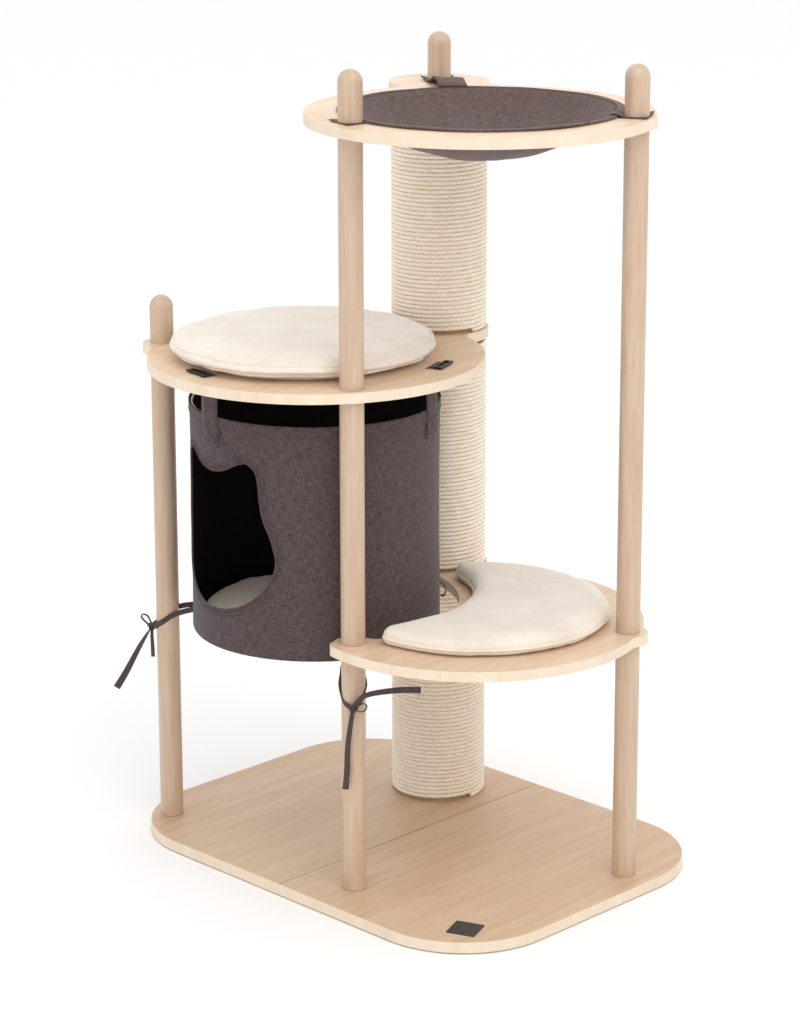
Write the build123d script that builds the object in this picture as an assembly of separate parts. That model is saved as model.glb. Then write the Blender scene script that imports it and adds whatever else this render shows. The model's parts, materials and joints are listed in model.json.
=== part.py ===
from build123d import *
import math
import os

# A free-standing cat tree: a two-panel base, three slim round posts, one thick
# rope-wrapped column, three disc shelves, a hammock, a hanging den, two seat
# cushions and a den pad.  Millimetres, +Z up, origin at the middle of the
# base's underside.  +X runs along the base's long side, -Y is the front.

# ---- base -------------------------------------------------------------------
base_length = 760.0
base_depth = 560.0
base_corner = 150.0
board_thickness = 16.0
foot_height = 2.0
foot_radius = 12.0
foot_inset_x = 110.0
foot_inset_y = 60.0
foot_middle = 90.0
seam_gap = 0.4
band_thickness = 1.0
dowel_radius = 4.0
dowel_end_gap = 1.0
dowel_length = 50.0
dowel_spacing = 160.0
plate_length = 90.0
plate_width = 24.0
plate_thickness = 2.0
plate_offset = 190.0
screw_inner_reach = 22.0
screw_outer_reach = 37.0
screw_radius = 2.0
screw_length = 11.0
screw_head_radius = 3.8
screw_head_height = 1.4
label_side = 43.0
label_corner = 2.0
label_thickness = 0.8
label_turn = 22.0
label_inset_x = 76.0
label_inset_y = 78.0

# ---- posts and column -------------------------------------------------------
post_radius = 17.5
stage_height = 360.0
post_chamfer = 0.8
finial_height = 72.0
column_radius = 73.0
rope_diameter = 6.5
tube_wall = 5.0
end_disc_thickness = 26.0
left_post_at = (-322.0, -206.0)
front_post_at = (86.0, -208.0)
right_post_at = (332.0, 107.0)
column_at = (-108.0, 166.0)

# ---- shelves ----------------------------------------------------------------
shelf_thickness = 15.0
shelf_radius = 248.0
post_nose_margin = 11.5
column_nose_margin = 3.0
inner_blend = 26.0
outer_blend = 16.0
top_shelf_at = (136.0, -3.0)
middle_shelf_at = (-104.0, -96.0)
low_shelf_at = (126.0, 2.0)

# ---- threaded fixings -------------------------------------------------------
stud_radius = 4.0
stud_reach = 24.0
insert_radius = 6.0
insert_length = 18.0
bolt_head_radius = 6.5
bolt_head_height = 4.5
washer_radius = 9.0
washer_thickness = 1.6
thread_gap = 0.1
hole_gap = 0.5
bore_extra = 4.0

# ---- hammock ----------------------------------------------------------------
hammock_at = (133.0, 2.0)
hammock_hole_radius = 190.0
hammock_rim_radius = 202.0
hammock_sag = 68.0
hammock_cloth = 2.0
hammock_tab_width = 44.0
hammock_tab_lap = 6.0
hammock_wall_gap = 3.0
hammock_shoulder_drop = 12.0
hammock_flat_share = 0.62
hammock_shoulder_share = 0.92

# ---- den --------------------------------------------------------------------
den_x = -102.0
den_radius = 185.0
den_column_gap = 10.0
den_height = 350.0
den_rim_drop = 48.0
den_cloth = 2.0
den_front_angle = -97.5
door_half_width = 109.0
door_bottom = 61.0
door_middle = 152.0
door_notch = 269.0
door_ear_top = 291.0
door_waist_share = 0.84
door_temple_share = 0.79
door_ear_share = 0.6
door_brow_share = 0.32
door_temple_rise = 7.0
door_brow_rise = 9.0
den_board_thickness = 3.0
hoop_radius = 2.0
strap_width = 40.0
strap_cloth = 1.5
strap_lap = 16.0
strap_tongue = 25.0
slot_gap = 2.0
slide_height = 2.4
slide_depth = 13.0
slide_bar = 2.6
slide_window_inset = 2.0
low_shelf_den_gap = 29.0
low_shelf_nose_gap = 1.5

# ---- cushions ---------------------------------------------------------------
soft_gap = 0.3
round_cushion_at = (-114.0, -112.0)
round_cushion_post_gap = 1.3
round_cushion_height = 32.0
round_cushion_strap_gap = 9.3
round_cushion_under_step = 10.0
round_cushion_under_rise = 7.0
round_cushion_side_rise = 14.0
round_cushion_shoulder_inset = 20.0
round_cushion_shoulder_drop = 6.0
round_cushion_side_inset = 4.0
crescent_at = (128.0, 6.0)
crescent_radius = 200.0
crescent_bite = 43.0
crescent_height = 28.0
crescent_tip = 20.0
crescent_shoulder = 14.0
den_pad_side_gap = 9.0
den_pad_height = 26.0
cushion_fillet = 8.0

# ---- ties -------------------------------------------------------------------
tie_width = 9.0
tie_cloth = 1.2
tie_gap = 0.3
left_tie_level = 322.0
front_tie_level = 302.0
knot_radius = 6.0
left_knot_turn = -136.0
front_knot_turn = -46.0
tail_bend_share = 0.45

# ---- levels and fits worked out from the sizes above --------------------------
base_top = foot_height + board_thickness
low_bottom = base_top + stage_height
low_top = low_bottom + shelf_thickness
middle_bottom = low_top + stage_height
middle_top = middle_bottom + shelf_thickness
top_bottom = middle_top + stage_height
top_top = top_bottom + shelf_thickness
long_post = 2 * stage_height + shelf_thickness
den_rim = middle_bottom - den_rim_drop
den_floor_level = den_rim - den_height
post_nose = post_radius + post_nose_margin
column_nose = column_radius + column_nose_margin
den_reach = den_radius + den_column_gap + column_radius
den_at = (den_x, column_at[1] - math.sqrt(den_reach**2 - (den_x - column_at[0]) ** 2))
den_low_cut = den_radius + low_shelf_den_gap
den_pad_radius = den_radius - den_cloth - den_pad_side_gap
strap_angles = [den_front_angle + 120.0 * k for k in range(3)]
round_cushion_neighbours = [(front_post_at, post_radius), (column_at, column_radius)]
round_cushion_radius = min(
    math.dist(round_cushion_at, at) - radius - round_cushion_post_gap
    for at, radius in round_cushion_neighbours
)

os.makedirs("parts", exist_ok=True)


def save(name, shape):
    """Writes one node; a group of separate solids becomes one compound."""
    solids = list(shape) if isinstance(shape, (list, tuple)) else [shape]
    body = solids[0] if len(solids) == 1 else Compound(children=solids)
    export_step(body, f"parts/{name}.step")


def rod(at, radius, low, high):
    """An upright cylinder between two levels."""
    middle = (low + high) / 2
    return Pos(at[0], at[1], middle) * Cylinder(radius, high - low)


def plate(outline, low, high):
    """A flat outline on the ground plane, raised into a board."""
    return Pos(0, 0, low) * extrude(outline, amount=high - low)


# ---- base -------------------------------------------------------------------
def base_outline(inset=0.0):
    """The whole base seen from above, drawn in by the inset."""
    corner = base_corner - inset
    return RectangleRounded(base_length - 2 * inset, base_depth - 2 * inset, corner)


def half(side):
    """A tall block that keeps one side of the seam: -1 left, +1 right."""
    width = base_length
    middle = side * (width / 2 + seam_gap / 2)
    return Pos(middle, 0, 0) * Box(width, 2 * base_depth, 2 * base_depth)


def make_dowels(radius, extra):
    """Wooden pegs that line the two halves up across the seam."""
    level = foot_height + board_thickness / 2
    peg = Rot(0, 90, 0) * Cylinder(radius, dowel_length + extra)
    return [Pos(0, k * dowel_spacing, level) * peg for k in (-1, 0, 1)]


def join_plates(extra=0.0):
    """Two flat steel plates let into the underside across the seam."""
    size = (plate_length + extra, plate_width + extra, plate_thickness + extra / 2)
    level = foot_height + size[2] / 2
    return [Pos(0, side * plate_offset / 2, level) * Box(*size) for side in (-1, 1)]


def plate_screw_places():
    """Two screws on each side of the seam, in each plate."""
    reaches = (screw_inner_reach, screw_outer_reach)
    columns = [side * reach for side in (-1, 1) for reach in reaches]
    return [(x, y * plate_offset / 2) for x in columns for y in (-1, 1)]


def plate_screw(at, grow=0.0):
    """A small countersunk-type screw with a flat head under the plate."""
    low = foot_height - grow
    head_top = foot_height + screw_head_height + grow
    head = rod(at, screw_head_radius + grow, low, head_top)
    shank = rod(at, screw_radius + grow, low, foot_height + screw_length + grow)
    return head + shank


def post_places():
    return [left_post_at, front_post_at, right_post_at, column_at]


def base_bolt(at):
    """A bolt that comes up through the base into the insert of a post."""
    seat = foot_height + bolt_head_height
    head = rod(at, bolt_head_radius, foot_height + hole_gap, seat)
    shank = rod(at, stud_radius, seat, base_top + stud_reach)
    return head + shank


def base_washer(at):
    seat = foot_height + bolt_head_height + thread_gap
    ring = rod(at, washer_radius, seat, seat + washer_thickness)
    return ring - rod(at, stud_radius + thread_gap, seat, seat + washer_thickness)


def bolt_pocket(at):
    """The stepped hole that a base bolt and its washer sit in."""
    step = foot_height + bolt_head_height + washer_thickness + 2 * thread_gap
    pocket = rod(at, washer_radius + hole_gap, 0, step)
    return pocket + rod(at, stud_radius + hole_gap, 0, 2 * base_top)


def make_base():
    """Two boards with a pale edge band, pegs, plates, bolts, feet and a blank label."""
    board = plate(base_outline(band_thickness), foot_height, base_top)
    band = plate(base_outline(), foot_height, base_top) - board
    for at in post_places():
        board -= bolt_pocket(at)
    for cut in make_dowels(dowel_radius + thread_gap, dowel_end_gap) + join_plates(extra=hole_gap):
        board -= cut
    for at in plate_screw_places():
        board -= plate_screw(at, thread_gap)
    for name, side in (("left", -1), ("right", 1)):
        save(f"base_panel_{name}", board & half(side))
        save(f"base_edge_band_{name}", band & half(side))
    save("base_dowels", make_dowels(dowel_radius, 0.0))
    plates = join_plates()
    screws = [plate_screw(at) for at in plate_screw_places()]
    drilled = [p - [plate_screw(at, thread_gap) for at in plate_screw_places()] for p in plates]
    save("base_join_plates", drilled)
    save("base_plate_screws", screws)
    save("base_bolts", [base_bolt(at) for at in post_places()])
    save("base_bolt_washers", [base_washer(at) for at in post_places()])
    save("base_feet", base_feet())
    label_x = base_length / 2 - label_inset_x
    label_y = label_inset_y - base_depth / 2
    save("base_label", Pos(label_x, label_y, base_top) * Rot(0, 0, label_turn) * label_blank())


def base_feet():
    """Thin round pads: near the corners, along the two long sides, and one under the middle."""
    reach_x = base_length / 2 - foot_inset_x
    reach_y = base_depth / 2 - foot_inset_y
    places = [(x * reach_x, y * reach_y) for x in (-1, 1) for y in (-1, 1)]
    places += [(x * foot_middle, y * reach_y) for x in (-1, 1) for y in (-1, 1)]
    places.append((0, 0))
    return [rod(at, foot_radius, 0, foot_height) for at in places]


def label_blank():
    square = RectangleRounded(label_side, label_side, label_corner)
    return extrude(square, amount=label_thickness)


# ---- posts ------------------------------------------------------------------
def end_bore(at, level, inward):
    """The hole for an insert and a stud, from one end of a post (+1 up, -1 down)."""
    deep = level + inward * (stud_reach + bore_extra)
    sleeve = level + inward * insert_length
    bore = rod(at, stud_radius + 2 * thread_gap, *sorted((level, deep)))
    return bore + rod(at, insert_radius + thread_gap / 2, *sorted((level, sleeve)))


def insert(at, level, inward):
    """A threaded sleeve pressed into one end of a post."""
    low, high = sorted((level, level + inward * insert_length))
    return rod(at, insert_radius, low, high) - rod(at, stud_radius + thread_gap, low, high)


def post(at, low, high):
    """A plain round post with small chamfers at its two ends."""
    body = rod(at, post_radius, low, high)
    body = chamfer(body.edges().filter_by(GeomType.CIRCLE), post_chamfer)
    return body - end_bore(at, low, 1) - end_bore(at, high, -1)


def finial(at, low):
    """A short peg with a round top that closes a post."""
    shoulder = low + finial_height - post_radius
    body = rod(at, post_radius, low, shoulder)
    body += Pos(at[0], at[1], shoulder) * Sphere(post_radius)
    return body - end_bore(at, low, 1)


def stud(at, level, thickness):
    """A threaded rod through a shelf, reaching into the posts above and below."""
    return rod(at, stud_radius, level - stud_reach, level + thickness + stud_reach)


def make_posts():
    """The three slim posts, their finials, and the threaded pieces inside them."""
    stages = {
        "left_post": (left_post_at, base_top, middle_bottom),
        "front_post_lower": (front_post_at, base_top, low_bottom),
        "front_post_middle": (front_post_at, low_top, middle_bottom),
        "front_post_upper": (front_post_at, middle_top, top_bottom),
        "right_post_lower": (right_post_at, base_top, low_bottom),
        "right_post_upper": (right_post_at, low_top, top_bottom),
    }
    crown = top_top + hammock_cloth
    finials = {
        "left_finial": (left_post_at, middle_top),
        "front_finial": (front_post_at, crown),
        "right_finial": (right_post_at, crown),
        "back_finial": (column_at, crown),
    }
    inserts = []
    for name, (at, low, high) in stages.items():
        save(name, post(at, low, high))
        inserts += [insert(at, low, 1), insert(at, high, -1)]
    for name, (at, low) in finials.items():
        save(name, finial(at, low))
        inserts.append(insert(at, low, 1))
    for low in (base_top, low_top, middle_top):
        inserts += [insert(column_at, low, 1), insert(column_at, low + stage_height, -1)]
    save("post_inserts", inserts)
    plain = shelf_thickness
    capped = shelf_thickness + hammock_cloth
    joints = [(left_post_at, middle_bottom, plain)]
    joints += [(at, low_bottom, plain) for at in (front_post_at, right_post_at, column_at)]
    joints += [(at, middle_bottom, plain) for at in (front_post_at, column_at)]
    joints += [(at, top_bottom, capped) for at in (front_post_at, right_post_at, column_at)]
    save("post_studs", [stud(at, level, thickness) for at, level, thickness in joints])


# ---- rope column ------------------------------------------------------------
def make_column():
    """Three card tubes wound with rope, closed by wooden discs at both ends."""
    tube_outer = column_radius - rope_diameter
    tube_inner = tube_outer - tube_wall
    disc_radius = tube_inner - thread_gap
    discs = []
    for name, low in (("lower", base_top), ("middle", low_top), ("upper", middle_top)):
        high = low + stage_height
        bore = rod(column_at, tube_inner, low, high)
        tube = rod(column_at, tube_outer, low, high) - bore
        rope = rod(column_at, column_radius, low, high) - rod(column_at, tube_outer, low, high)
        save(f"column_tube_{name}", tube)
        save(f"column_rope_{name}", rope)
        lower = rod(column_at, disc_radius, low, low + end_disc_thickness)
        upper = rod(column_at, disc_radius, high - end_disc_thickness, high)
        discs.append(lower - end_bore(column_at, low, 1))
        discs.append(upper - end_bore(column_at, high, -1))
    save("column_end_discs", discs)


# ---- shelves ----------------------------------------------------------------
def shelf_outline(centre, noses, cut_radius=0.0):
    """A disc with a round nose at each post, and blended inner and outer corners."""
    outline = Pos(*centre) * Circle(shelf_radius)
    if cut_radius:
        outline -= Pos(*den_at) * Circle(cut_radius)
    for at, radius in noses:
        outline += Pos(*at) * Circle(radius)
    outline = offset(outline, amount=inner_blend)
    outline = offset(outline, amount=-inner_blend - outer_blend)
    outline = offset(outline, amount=outer_blend)
    if cut_radius:
        outline -= Pos(*den_at) * Circle(den_radius + low_shelf_nose_gap)
    return outline


def board_and_band(outline, low, high):
    """A shelf board and the thin strip glued round its edge."""
    core = offset(outline, amount=-band_thickness)
    return plate(core, low, high), plate(outline - core, low, high)


def strap_slot(angle):
    """The slot that a den strap comes up through."""
    depth = strap_cloth + 2 * slot_gap
    middle = den_radius + strap_cloth / 2 + thread_gap
    cutter = Box(depth, strap_width + 2 * slot_gap, 3 * shelf_thickness)
    turn = Pos(den_at[0], den_at[1], middle_bottom) * Rot(0, 0, angle)
    return turn * Pos(middle, 0, 0) * cutter


def make_shelves():
    """The low, middle and top shelf, each drilled for the studs that pass through it."""
    front = (front_post_at, post_nose)
    right = (right_post_at, post_nose)
    left = (left_post_at, post_nose)
    column = (column_at, column_nose)
    shelves = {
        "low": (low_shelf_at, [front, right, column], den_low_cut, low_bottom),
        "middle": (middle_shelf_at, [left, front, column], 0.0, middle_bottom),
        "top": (top_shelf_at, [front, right, column], 0.0, top_bottom),
    }
    for name, (centre, noses, cut, low) in shelves.items():
        high = low + shelf_thickness
        board, band = board_and_band(shelf_outline(centre, noses, cut), low, high)
        for at, radius in noses:
            board -= rod(at, stud_radius + hole_gap, low, high)
        if name == "middle":
            for angle in strap_angles:
                board -= strap_slot(angle)
        if name == "top":
            board -= rod(hammock_at, hammock_hole_radius, low, high)
        save(f"{name}_shelf", board)
        save(f"{name}_shelf_edge_band", band)


# ---- hammock ----------------------------------------------------------------
def bowl_wall(reach, rim, low):
    """One side of the bowl's section: a curve from its rim down to its middle."""
    shoulder = (hammock_shoulder_share * reach, rim - hammock_shoulder_drop)
    return Bezier((reach, rim), shoulder, (hammock_flat_share * reach, low), (0, low))


def make_hammock():
    """A round cloth bowl whose rim lies on the top shelf, with a tab under each peg."""
    under = top_top
    over = top_top + hammock_cloth
    reach = hammock_hole_radius - hammock_wall_gap
    low = top_top - hammock_sag
    with BuildPart() as bowl:
        with BuildSketch(Plane.XZ):
            with BuildLine():
                bowl_wall(reach, under, low)
                Line((0, low), (0, low + hammock_cloth))
                bowl_wall(reach - hammock_cloth / 2, over, low + hammock_cloth)
                Line((reach - hammock_cloth / 2, over), (hammock_rim_radius, over))
                Line((hammock_rim_radius, over), (hammock_rim_radius, under))
                Line((hammock_rim_radius, under), (reach, under))
            make_face()
        revolve(axis=Axis.Z)
    cloth = Pos(hammock_at[0], hammock_at[1], 0) * bowl.part
    for at in (front_post_at, right_post_at, column_at):
        cloth += hammock_tab(at)
    for at in (front_post_at, right_post_at, column_at):
        cloth -= rod(at, stud_radius + hole_gap, under - hammock_cloth, over + hammock_cloth)
    save("hammock", cloth)


def hammock_tab(at):
    """A flat tongue of cloth from the rim out to one peg."""
    along = Vector(at[0] - hammock_at[0], at[1] - hammock_at[1], 0)
    angle = math.degrees(math.atan2(along.Y, along.X))
    start = hammock_rim_radius - hammock_tab_lap
    length = along.length - start
    strip = Pos(start + length / 2, 0, 0) * Box(length, hammock_tab_width, hammock_cloth)
    end = Pos(along.length, 0, 0) * Cylinder(hammock_tab_width / 2, hammock_cloth)
    level = top_top + hammock_cloth / 2
    return Pos(hammock_at[0], hammock_at[1], level) * Rot(0, 0, angle) * (strip + end)


# ---- den --------------------------------------------------------------------
def door_outline():
    """The doorway as a cat's head: a round chin and cheeks, two ears and a notch."""
    chin_height = door_middle - door_bottom
    waist = (door_waist_share * door_half_width, (door_middle + door_notch) / 2)
    temple = (door_temple_share * door_half_width, door_notch + door_temple_rise)
    ear = (door_ear_share * door_half_width, door_ear_top)
    brow = (door_brow_share * door_half_width, door_notch + door_brow_rise)
    points = [(door_half_width, door_middle), waist, temple, ear, brow, (0, door_notch)]
    with BuildSketch() as face:
        with BuildLine():
            right = Spline(*points, tangents=[(0, 1), (-1, 0)])
            mirror(right, about=Plane.YZ)
            EllipticalCenterArc((0, door_middle), door_half_width, chin_height, 180, arc_size=180)
        make_face()
    return face.sketch


def facing(angle, level):
    """A frame on the den's axis whose +Z looks outwards at the given angle."""
    along = Vector(math.cos(math.radians(angle)), math.sin(math.radians(angle)), 0)
    sideways = Vector(-along.Y, along.X, 0)
    return Plane(origin=(den_at[0], den_at[1], level), x_dir=sideways, z_dir=along)


def den_strap(angle):
    """A cloth tab from the den's rim, up through the slot and out over the shelf."""
    flat = den_radius + thread_gap
    rise = middle_top + soft_gap + strap_cloth - (den_rim - strap_lap)
    upright = Pos(flat + strap_cloth / 2, 0, rise / 2) * Box(strap_cloth, strap_width, rise)
    reach = flat + strap_tongue / 2
    tongue_level = rise - strap_cloth / 2
    tongue = Pos(reach, 0, tongue_level) * Box(strap_tongue, strap_width, strap_cloth)
    turn = Pos(den_at[0], den_at[1], den_rim - strap_lap) * Rot(0, 0, angle)
    return turn * (upright + tongue)


def strap_slide(angle):
    """A flat metal loop that lies over the end of a strap, on top of the shelf."""
    outer = Box(slide_depth, strap_width + 2 * slide_bar, slide_height)
    window_width = strap_width - 2 * slide_window_inset
    window = Box(slide_depth - 2 * slide_bar, window_width, slide_height)
    level = middle_top + soft_gap + strap_cloth + thread_gap + slide_height / 2
    middle = den_radius + strap_tongue - slide_depth / 2
    return Pos(den_at[0], den_at[1], level) * Rot(0, 0, angle) * Pos(middle, 0, 0) * (outer - window)


def make_den():
    """The cloth drum under the middle shelf, with its door, floor, hoop, straps and slides."""
    inner = den_radius - den_cloth
    wall_low = den_floor_level + den_cloth
    wall = rod(den_at, den_radius, wall_low, den_rim) - rod(den_at, inner, wall_low, den_rim)
    doorway = facing(den_front_angle, den_floor_level) * door_outline()
    wall -= extrude(doorway, amount=2 * den_radius)
    save("den_wall", wall)
    save("den_floor", rod(den_at, den_radius, den_floor_level, wall_low))
    board_low = wall_low + thread_gap
    board_high = board_low + den_board_thickness
    save("den_floor_board", rod(den_at, inner - 3 * thread_gap, board_low, board_high))
    hoop_path = inner - hoop_radius - thread_gap
    hoop = Torus(hoop_path, hoop_radius)
    save("den_hoop", Pos(den_at[0], den_at[1], den_rim - 2 * hoop_radius) * hoop)
    save("den_straps", [den_strap(angle) for angle in strap_angles])
    save("strap_slides", [strap_slide(angle) for angle in strap_angles])
    pad_low = board_high + soft_gap
    pad = rod(den_at, den_pad_radius, pad_low, pad_low + den_pad_height)
    save("den_pad", fillet(pad.edges().filter_by(GeomType.CIRCLE), cushion_fillet))


# ---- cushions ---------------------------------------------------------------
def make_cushions():
    """A round pad on the middle shelf and a crescent pad on the low shelf."""
    low = middle_top + soft_gap
    high = low + round_cushion_height
    edge = round_cushion_radius
    foot = den_radius - math.dist(round_cushion_at, den_at) - round_cushion_strap_gap
    side = low + round_cushion_side_rise
    outline = [
        (0, low),
        (foot, low),
        (foot + round_cushion_under_step, low + round_cushion_under_rise),
        (edge, side),
        (edge - round_cushion_side_inset, high - round_cushion_shoulder_drop),
        (edge - round_cushion_shoulder_inset, high),
        (0, high),
    ]
    with BuildPart() as pad:
        with BuildSketch(Plane.XZ):
            with BuildLine():
                Polyline(*outline, close=True)
            make_face()
        revolve(axis=Axis.Z)
    save("round_cushion", Pos(*round_cushion_at) * pad.part)
    moon = Pos(*crescent_at) * Circle(crescent_radius)
    bite = den_radius + crescent_bite
    moon -= Pos(*den_at) * Circle(bite)
    moon = offset(offset(moon, amount=-crescent_tip), amount=crescent_tip)
    seat = low_top + soft_gap
    crescent = plate(moon, seat, seat + crescent_height)
    crown = crescent.faces().sort_by(Axis.Z)[-1].edges()
    crescent = fillet(crown, crescent_shoulder)
    foot_edge = crescent.faces().sort_by(Axis.Z)[0].edges()
    save("crescent_cushion", fillet(foot_edge, cushion_fillet))


# ---- ties -------------------------------------------------------------------
def tie_band(at, level):
    """A ribbon wrapped once round a post."""
    inner = post_radius + tie_gap
    outer = inner + tie_cloth
    low, high = level, level + tie_width
    return rod(at, outer, low, high) - rod(at, inner, low, high)


def tail(points):
    """A free ribbon end: straight runs joined by arcs as large as the runs allow."""
    corners = [Vector(*p) for p in points]
    radii = []
    for before, here, after in zip(corners, corners[1:], corners[2:]):
        turn = (here - before).get_angle(after - here)
        shorter = min((here - before).length, (after - here).length)
        radii.append(tail_bend_share * shorter / math.tan(math.radians(turn / 2)))
    path = FilletPolyline(*corners, radius=radii)
    section = Plane(origin=path @ 0, z_dir=path % 0) * Circle(tie_width / 2)
    tube = sweep(section, path=path)
    expected = math.pi * (tie_width / 2) ** 2 * path.length
    print("tail length", round(path.length, 1), "radii", [round(r, 1) for r in radii])
    print("tail volume over section times length", round(tube.volume / expected, 4))
    return tube


# The points of the three free ribbon ends, each from its knot outwards.
left_tail_points = [
    (-343.4, -228.4, 313.0),
    (-350.6, -236.0, 296.0),
    (-360.2, -245.2, 270.0),
    (-370.4, -253.8, 244.0),
    (-379.6, -263.0, 223.0),
]
front_side_points = [
    (109.0, -228.0, 309.0),
    (113.5, -224.5, 319.0),
    (124.0, -214.5, 327.0),
    (141.5, -197.5, 331.0),
    (160.5, -178.0, 333.5),
    (177.5, -163.0, 333.0),
]
front_down_points = [
    (105.0, -229.5, 293.0),
    (101.5, -231.0, 272.0),
    (99.0, -233.5, 240.0),
    (98.2, -233.0, 208.0),
    (95.8, -234.5, 180.0),
]


def knot(at, level):
    """The plain lump that stands for a knotted ribbon."""
    return Pos(at[0], at[1], level) * Sphere(knot_radius)


def toward_view(at, turn):
    """A place just outside a post, in the direction given by the turn in degrees."""
    reach = post_radius + tie_gap + tie_cloth + knot_radius
    return (
        at[0] + reach * math.cos(math.radians(turn)),
        at[1] + reach * math.sin(math.radians(turn)),
    )


def make_ties():
    """Two ribbon ties that steady the den: one round the left post, one round the front post."""
    save("left_tie_band", tie_band(left_post_at, left_tie_level - tie_width / 2))
    save("front_tie_band", tie_band(front_post_at, front_tie_level - tie_width / 2))
    save("left_tie_knot", knot(toward_view(left_post_at, left_knot_turn), left_tie_level))
    save("front_tie_knot", knot(toward_view(front_post_at, front_knot_turn), front_tie_level))
    save("left_tie_tail", tail(left_tail_points))
    save("front_tie_side_tail", tail(front_side_points))
    save("front_tie_down_tail", tail(front_down_points))


make_base()
make_posts()
make_column()
make_shelves()
make_hammock()
make_den()
make_cushions()
make_ties()
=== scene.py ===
# %% [markdown]
# # A cat tree, dressed for the camera
# The CAD model already says where every board, post and screw is.  Blender adds what CAD
# leaves out: grain, rope, linen, plush, stitches and ribbons.  Everything is in metres, in
# the CAD's own frame, so a new piece goes exactly where the CAD piece was.

# %% Load the fixed frame
import json
import math

import bmesh
import bpy
from mathutils import Matrix, Vector, noise


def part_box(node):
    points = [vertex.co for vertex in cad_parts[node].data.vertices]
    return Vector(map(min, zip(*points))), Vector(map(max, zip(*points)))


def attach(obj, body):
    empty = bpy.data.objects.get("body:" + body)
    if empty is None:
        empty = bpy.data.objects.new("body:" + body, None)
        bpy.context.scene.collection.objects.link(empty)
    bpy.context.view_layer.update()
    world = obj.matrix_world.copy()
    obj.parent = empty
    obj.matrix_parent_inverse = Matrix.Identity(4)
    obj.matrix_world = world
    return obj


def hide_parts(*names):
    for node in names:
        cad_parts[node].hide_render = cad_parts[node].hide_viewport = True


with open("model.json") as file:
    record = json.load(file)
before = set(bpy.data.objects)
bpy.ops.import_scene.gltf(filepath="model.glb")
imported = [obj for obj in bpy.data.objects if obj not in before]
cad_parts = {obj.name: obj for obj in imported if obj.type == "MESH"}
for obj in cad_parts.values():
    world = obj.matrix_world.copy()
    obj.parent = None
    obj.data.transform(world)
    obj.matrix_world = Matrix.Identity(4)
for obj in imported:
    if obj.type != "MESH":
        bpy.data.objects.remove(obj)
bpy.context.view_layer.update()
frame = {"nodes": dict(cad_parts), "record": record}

nodes = frame["nodes"]
MM = 0.001
UP = Vector((0, 0, 1))

# %% [markdown]
# ## Camera
# A long lens from the front right corner, a little above the top shelf.  The small downward
# shift keeps the posts nearly upright in the picture, as a view camera does.

# %% Camera
CAMERA_AT = Vector((3.038, -3.0675, 1.7917))
CAMERA_TURN = math.radians(44.56)
CAMERA_DIP = math.radians(14.39)
camera_data = bpy.data.cameras.new("camera")
camera_data.sensor_width = 36.0
camera_data.lens = 106.4
camera_data.shift_x = -0.0205
camera_data.shift_y = -0.10
camera = bpy.data.objects.new("camera", camera_data)
bpy.context.scene.collection.objects.link(camera)
bpy.context.scene.camera = camera
back = Vector((
    math.sin(CAMERA_TURN) * math.cos(CAMERA_DIP),
    -math.cos(CAMERA_TURN) * math.cos(CAMERA_DIP),
    math.sin(CAMERA_DIP),
))
camera.location = CAMERA_AT
camera.rotation_mode = "QUATERNION"
camera.rotation_quaternion = (-back).to_track_quat("-Z", "Y")
print("camera", camera_data.lens, "mm lens")

# %% [markdown]
# ## Floor and light
# A white sweep and three large soft lamps.  A large lamp close to the object gives shadows
# with no hard edge, which is what makes a studio picture look calm.

# %% Floor and light
FLOOR_REACH = 14.0


def colour(red, green, blue):
    """A display colour, 0 to 255, as the linear values that shaders work in."""
    def linear(value):
        value /= 255
        return value / 12.92 if value <= 0.04045 else ((value + 0.055) / 1.055) ** 2.4
    return (linear(red), linear(green), linear(blue), 1.0)


def area_light(name, place, target, size, power, tint):
    lamp = bpy.data.lights.new(name, "AREA")
    lamp.shape = "SQUARE"
    lamp.size = size
    lamp.energy = power
    lamp.color = tint
    holder = bpy.data.objects.new(name, lamp)
    bpy.context.scene.collection.objects.link(holder)
    holder.location = place
    holder.rotation_mode = "QUATERNION"
    holder.rotation_quaternion = (Vector(target) - Vector(place)).to_track_quat("-Z", "Y")
    return holder


world = bpy.data.worlds.new("studio")
world.use_nodes = True
world.node_tree.nodes["Background"].inputs["Color"].default_value = (1.0, 1.0, 1.0, 1.0)
world.node_tree.nodes["Background"].inputs["Strength"].default_value = 1.06
bpy.context.scene.world = world
bpy.context.scene.view_settings.view_transform = "Standard"
area_light("key", (2.6, -0.9, 3.4), (0, 0, 0.6), 2.6, 42, (1.0, 0.97, 0.93))
area_light("front", (0.6, -3.6, 1.7), (0, 0, 0.6), 2.4, 9, (1.0, 0.98, 0.95))
area_light("rear", (-2.4, 2.4, 2.6), (0, 0, 0.7), 2.0, 8, (1.0, 1.0, 1.0))

floor_bm = bmesh.new()
bmesh.ops.create_grid(floor_bm, x_segments=1, y_segments=1, size=FLOOR_REACH)
floor_mesh = bpy.data.meshes.new("floor")
floor_bm.to_mesh(floor_mesh)
floor_bm.free()
floor = bpy.data.objects.new("floor", floor_mesh)
bpy.context.scene.collection.objects.link(floor)
floor_finish = bpy.data.materials.new("floor_finish")
floor_finish.use_nodes = True
floor_shader = floor_finish.node_tree.nodes["Principled BSDF"]
floor_shader.inputs["Base Color"].default_value = (0.93, 0.93, 0.93, 1.0)
floor_shader.inputs["Roughness"].default_value = 0.9
floor_mesh.materials.append(floor_finish)
print("floor", 2 * FLOOR_REACH, "m square")

# %% [markdown]
# ## Small helpers for shader trees
# A node group is a reusable effect: it is built once, and each material places it with its
# own values.  Two tiny helpers keep the trees readable: one adds a node and fills its
# sockets, the other opens a new group with named inputs and outputs.

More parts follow.
